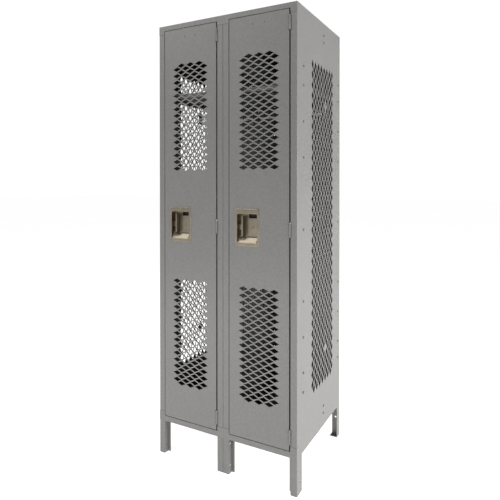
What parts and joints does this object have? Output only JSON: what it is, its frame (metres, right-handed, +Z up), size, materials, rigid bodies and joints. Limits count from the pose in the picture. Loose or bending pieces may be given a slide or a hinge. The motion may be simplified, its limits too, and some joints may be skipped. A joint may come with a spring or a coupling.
{
  "type": "locker cabinet",
  "caption": "Two-wide ventilated steel locker on legs with diamond-punched hinged doors, recessed lift handles, hat shelves and coat rods.",
  "frame": {"origin": "on the floor, in the middle of the overall footprint", "axes": "+Z up, +X to the right of someone facing the doors, -Y out of the doors"},
  "size_m": [0.6152, 0.4844, 1.745],
  "materials": {
    "gray_paint": "satin baked enamel with a fine grain",
    "stainless": "pressed stainless steel, satin",
    "zinc": "zinc plated",
    "dark_steel": "darkened steel screws",
    "rubber": "matt black rubber"
  },
  "bodies": {
    "cabinet": {"corner_rivets": "gray_paint", "left_back_panel": "gray_paint", "left_bottom_sheet": "gray_paint", "left_coat_rod": "zinc", "left_door_bumpers": "rubber", "left_frame_bottom_rail": "gray_paint", "left_frame_hinge_upright": "gray_paint", "left_frame_hooks": "zinc", "left_frame_latch_upright": "gray_paint", "left_frame_top_rail": "gray_paint", "left_hat_shelf": "gray_paint", "left_hinge_frame_leaves": "gray_paint", "left_hinge_pins": "zinc", "left_rear_leg": "gray_paint", "left_rod_brackets": "gray_paint", "left_side_bolts": "dark_steel", "left_side_panel": "gray_paint", "left_top_sheet": "gray_paint", "leg_bolts": "zinc", "middle_partition": "gray_paint", "middle_rear_leg": "gray_paint", "partition_bolts": "zinc", "right_back_panel": "gray_paint", "right_bottom_sheet": "gray_paint", "right_coat_rod": "zinc", "right_door_bumpers": "rubber", "right_frame_bottom_rail": "gray_paint", "right_frame_hinge_upright": "gray_paint", "right_frame_hooks": "zinc", "right_frame_latch_upright": "gray_paint", "right_frame_top_rail": "gray_paint", "right_hat_shelf": "gray_paint", "right_hinge_frame_leaves": "gray_paint", "right_hinge_pins": "zinc", "right_rear_leg": "gray_paint", "right_rod_brackets": "gray_paint", "right_side_bolts": "dark_steel", "right_side_panel": "gray_paint", "right_top_sheet": "gray_paint"},
    "left_door": {"left_cup_rivets": "stainless", "left_door_panel": "gray_paint", "left_door_stiffener": "gray_paint", "left_handle_cup": "stainless", "left_hinge_door_leaves": "gray_paint", "left_latch_channel": "gray_paint", "left_lock_cover": "stainless"},
    "right_door": {"right_cup_rivets": "stainless", "right_door_panel": "gray_paint", "right_door_stiffener": "gray_paint", "right_handle_cup": "stainless", "right_hinge_door_leaves": "gray_paint", "right_latch_channel": "gray_paint", "right_lock_cover": "stainless"},
    "left_latch": {"left_latch_bar": "zinc", "left_lift_handle": "stainless"},
    "right_latch": {"right_latch_bar": "zinc", "right_lift_handle": "stainless"}
  },
  "joints": [
    {"name": "left_door_hinge", "type": "hinge", "parent": "cabinet", "child": "left_door", "pos_m": [-0.0285, -0.23775, 0.94], "axis": [0, 0, 1], "range_deg": [0, 165]},
    {"name": "left_latch_lift", "type": "slide", "parent": "left_door", "child": "left_latch", "axis": [0, 0, 1], "range_m": [0, 0.009]},
    {"name": "right_door_hinge", "type": "hinge", "parent": "cabinet", "child": "right_door", "pos_m": [0.2765, -0.23775, 0.94], "axis": [0, 0, 1], "range_deg": [0, 165]},
    {"name": "right_latch_lift", "type": "slide", "parent": "right_door", "child": "right_latch", "axis": [0, 0, 1], "range_m": [0, 0.009]}
  ]
}
